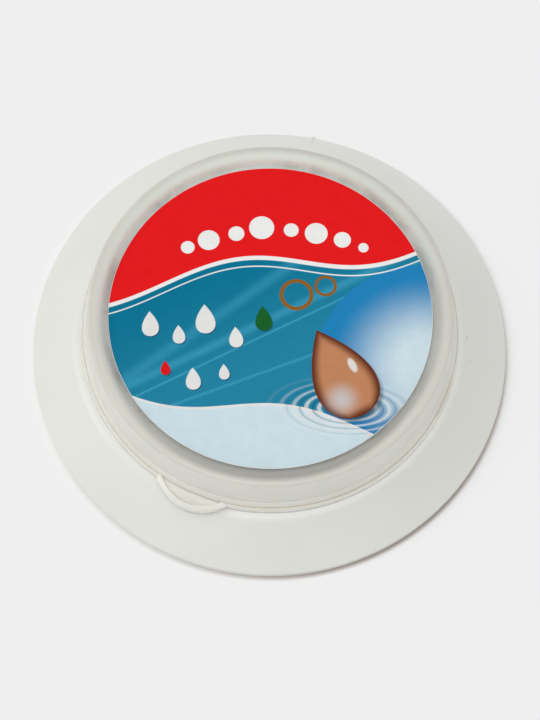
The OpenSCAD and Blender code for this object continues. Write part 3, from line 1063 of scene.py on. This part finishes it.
class MOISTENER_OT_lid(bpy.types.Operator):
    """Models the press-on lid: plug, rim, sunk panel, skirt with its snap bead, flange and pull tab"""

    bl_idname = "moistener.lid"
    bl_label = "Lid"

    def execute(self, context):
        base, lid = context.scene.moistener_base, context.scene.moistener_lid
        piece = self.turned_lid(base, lid)
        combine(piece, self.tab_lobe(base, lid), "UNION")
        combine(piece, self.thumb_rest(base, lid), "DIFFERENCE")
        smooth(piece)
        finish_piece(piece, lid_material(context.scene), "lid", "lid")
        return {"FINISHED"}

    def snap_bead(self, base, lid):
        """Rings of the bead inside the skirt, which passes the cup's bead with the snap's clearance."""
        middle = base.ledge_height + lid.bead_height
        ends = (middle + lid.bead_length / 2, middle - lid.bead_length / 2)
        crest = base.outside(base.ledge_height + base.bead_height) + base.bead_depth + lid.snap_gap
        depth = lid.inside(base, middle) - crest
        return bead(*[(lid.inside(base, height), height) for height in ends], depth)

    def turned_lid(self, base, lid):
        """The lid without its tab."""
        plug_height = lid.panel_height - lid.panel_thickness
        channel = lid.top_height - lid.wall
        flange_height, foot_radius = lid.flange_height(base), lid.foot_radius(base)
        flange_radius = lid.flange_radius(base)
        foot_top = flange_height + lid.foot_height
        skirt_radius = lid.outside(base, foot_top)
        return turn("press_lid", [
            (FLAT_RING, plug_height),
            (lid.plug_radius, plug_height, lid.corner_round * 0.6, 3),
            (lid.inside(base, channel), channel, lid.corner_round, 3),
            *self.snap_bead(base, lid),
            (lid.inside(base, base.ledge_height) + lid.corner_round, base.ledge_height),
            (flange_radius, base.ledge_height),
            (flange_radius - lid.flange_lean, flange_height, lid.corner_round * 0.3, 4),
            (foot_radius + lid.groove_width, flange_height),
            (foot_radius, flange_height - lid.groove_depth),
            (foot_radius, flange_height),
            (skirt_radius + lid.groove_width, foot_top),
            (skirt_radius, foot_top),
            (lid.outside(base, lid.top_height), lid.top_height, lid.soft_round * 0.8, 6),
            (lid.rim_radius, lid.top_height, lid.rim_round, 12),
            (lid.panel_radius, lid.panel_height, lid.soft_round * 0.6, 5),
            (FLAT_RING, lid.panel_height),
        ])

    def lobe_centre(self, base, lid):
        """Axis of the tab's round lobe."""
        return outwards(lid.tab_angle) * (lid.flange_radius(base) + lid.tab_out - lid.tab_radius)

    def tab_lobe(self, base, lid):
        """The tab's lobe, with a rolled edge, clear of the lid's inside and of the base under it."""
        top = lid.flange_height(base) + lid.tab_step
        rolled = [(top, lid.tab_edge, 10)]
        lobe = upright_cylinder(
            "tab_lobe", self.lobe_centre(base, lid), lid.tab_radius, 0.0, top, TAB_STEPS, rolled
        )
        core_radius = lid.inside(base, base.ledge_height) + lid.wall / 2
        core = upright_cylinder("lid_core", (0, 0), core_radius, -BELOW, lid.top_height, TURN_STEPS)
        combine(lobe, core, "DIFFERENCE")
        combine(lobe, self.room_under_tab(base, lid), "DIFFERENCE")
        return lobe

    def room_under_tab(self, base, lid):
        """The base's skirt and ledge, thicker by the room that the tab keeps from them."""
        end = base.roll_end()
        edge = Vector((base.foot_radius, base.edge_height)) + outwards(end) * lid.tab_room
        return turn("ledge_room", [
            (CORE_RING, -BELOW),
            (edge.x, -BELOW),
            tuple(edge),
            *arc(base.roll_centre(), base.ledge_roll + lid.tab_room, end, math.pi / 2, 8),
            (CORE_RING, base.ledge_height + lid.tab_room),
        ])

    def thumb_rest(self, base, lid):
        """What is cut out of the tab's top, up to the foot of the skirt."""
        floor = lid.flange_height(base) + lid.tab_step - lid.tab_dish
        radius = lid.tab_radius - lid.tab_edge
        rolled = [(floor, lid.tab_dish * 0.8, 6)]
        rest = upright_cylinder(
            "thumb_rest", self.lobe_centre(base, lid), radius, floor, lid.top_height, TAB_STEPS, rolled
        )
        core = upright_cylinder(
            "skirt_core", (0, 0), lid.foot_radius(base), 0.0, 2 * lid.top_height, TURN_STEPS
        )
        combine(rest, core, "DIFFERENCE")
        return rest


class MOISTENER_OT_label(bpy.types.Operator):
    """Models the round label: a film with a rounded cut edge"""

    bl_idname = "moistener.label"
    bl_label = "Label"

    def execute(self, context):
        sizes = context.scene.moistener_label
        low, high, steps = LABEL_LOW.z, LABEL_HIGH.z, 16
        rings = [(SMALL_RING, low), (sizes.radius, low), (sizes.radius, high, sizes.edge_round, 3)]
        rings += [(sizes.radius * (1 - step / steps), high) for step in range(1, steps)]
        piece = turn("round_label", rings)
        smooth(piece)
        finish_piece(piece, label_material(context.scene), "lid", "label")
        return {"FINISHED"}


class MOISTENER_OT_stage(bpy.types.Operator):
    """Sets the floor, the even light, the two soft lamps and the camera"""

    bl_idname = "moistener.stage"
    bl_label = "Stage"

    def execute(self, context):
        scene, stage = context.scene, context.scene.moistener_stage
        scene.view_settings.view_transform = "Standard"
        self.add_floor(scene)
        self.add_world(scene, stage)
        self.add_lamp("top_lamp", stage.top_strength, stage.top_turn, stage.top_height, stage.top_spread)
        self.add_lamp("key_lamp", stage.key_strength, stage.key_turn, stage.key_height, stage.key_spread)
        self.add_camera(scene, stage)
        return {"FINISHED"}

    def add_floor(self, scene):
        """A wide pale floor that keeps the object's shadow."""
        deselect()
        bpy.ops.mesh.primitive_grid_add(x_subdivisions=4, y_subdivisions=4, size=4.0)
        floor = bpy.context.object
        floor.name = "floor"
        floor.data.materials.append(floor_material(scene))

    def add_world(self, scene, stage):
        """Even light from all sides, which the camera sees as the backdrop's colour."""
        world = bpy.data.worlds.new("soft_sky")
        world.use_nodes = True
        tree = world.node_tree
        tree.nodes.clear()
        rays = add(tree, "ShaderNodeLightPath").outputs
        seen = most(*[Value(rays[f"Is {kind} Ray"]) for kind in ("Camera", "Glossy", "Transmission")])
        light = add(tree, "ShaderNodeBackground", {"Color": (1, 1, 1), "Strength": stage.sky_strength})
        backdrop = add(tree, "ShaderNodeBackground", {"Color": stage.backdrop, "Strength": 1.0})
        mixed = add(tree, "ShaderNodeMixShader", {0: seen, 1: light.outputs[0], 2: backdrop.outputs[0]})
        add(tree, "ShaderNodeOutputWorld", {"Surface": mixed.outputs[0]})
        scene.world = world

    def add_lamp(self, name, strength, turned, height, spread):
        """A wide soft lamp far away, in a direction and at an elevation."""
        towards = Vector((*(math.cos(height) * outwards(turned)), math.sin(height)))
        bpy.ops.object.light_add(type="SUN", location=towards)
        lamp = bpy.context.object
        lamp.name = name
        lamp.rotation_euler = towards.to_track_quat("Z", "Y").to_euler()
        lamp.data.energy = strength
        lamp.data.angle = spread

    def add_camera(self, scene, stage):
        """The camera, which looks down on the object from the front."""
        height, roll = stage.camera_height, stage.camera_roll
        forward = Vector((0.0, math.cos(height), -math.sin(height)))
        side = Vector((1.0, 0.0, 0.0))
        up = Vector((0.0, math.sin(height), math.cos(height)))
        rolled_side = math.cos(roll) * side + math.sin(roll) * up
        rolled_up = -math.sin(roll) * side + math.cos(roll) * up
        aim = Vector((stage.camera_side, stage.camera_depth, 0.0))
        bpy.ops.object.camera_add(location=aim - forward * stage.camera_distance)
        camera = bpy.context.object
        camera.name = "camera"
        camera.rotation_euler = Matrix((rolled_side, rolled_up, -forward)).transposed().to_euler()
        camera.data.lens = stage.lens
        camera.data.sensor_width = 36.0
        camera.data.sensor_fit = "AUTO"
        camera.data.clip_start = 0.01
        scene.camera = camera


class MOISTENER_PT_pieces(bpy.types.Panel):
    """Lists what makes the finger moistener and its stage"""

    bl_idname = "MOISTENER_PT_pieces"
    bl_label = "Finger Moistener"
    bl_space_type = "VIEW_3D"
    bl_region_type = "UI"
    bl_category = "Moistener"

    def draw(self, context):
        for operator in PIECES:
            self.layout.operator(operator.bl_idname)


SETTINGS = {
    "moistener_base": MoistenerBaseSizes,
    "moistener_lid": MoistenerLidSizes,
    "moistener_label": MoistenerLabelSizes,
    "moistener_finish": MoistenerFinish,
    "moistener_stage": MoistenerStage,
}
PIECES = (MOISTENER_OT_base, MOISTENER_OT_gel, MOISTENER_OT_lid, MOISTENER_OT_label, MOISTENER_OT_stage)


def register():
    for group in SETTINGS.values():
        bpy.utils.register_class(group)
    for name, group in SETTINGS.items():
        setattr(bpy.types.Scene, name, bpy.props.PointerProperty(type=group))
    for operator in PIECES:
        bpy.utils.register_class(operator)
    bpy.utils.register_class(MOISTENER_PT_pieces)


def unregister():
    bpy.utils.unregister_class(MOISTENER_PT_pieces)
    for operator in reversed(PIECES):
        bpy.utils.unregister_class(operator)
    for name, group in reversed(SETTINGS.items()):
        delattr(bpy.types.Scene, name)
        bpy.utils.unregister_class(group)


def main():
    register()
    bpy.ops.moistener.stage()
    bpy.ops.moistener.base()
    bpy.ops.moistener.gel()
    bpy.ops.moistener.lid()
    bpy.ops.moistener.label()


if __name__ == "__main__":
    main()
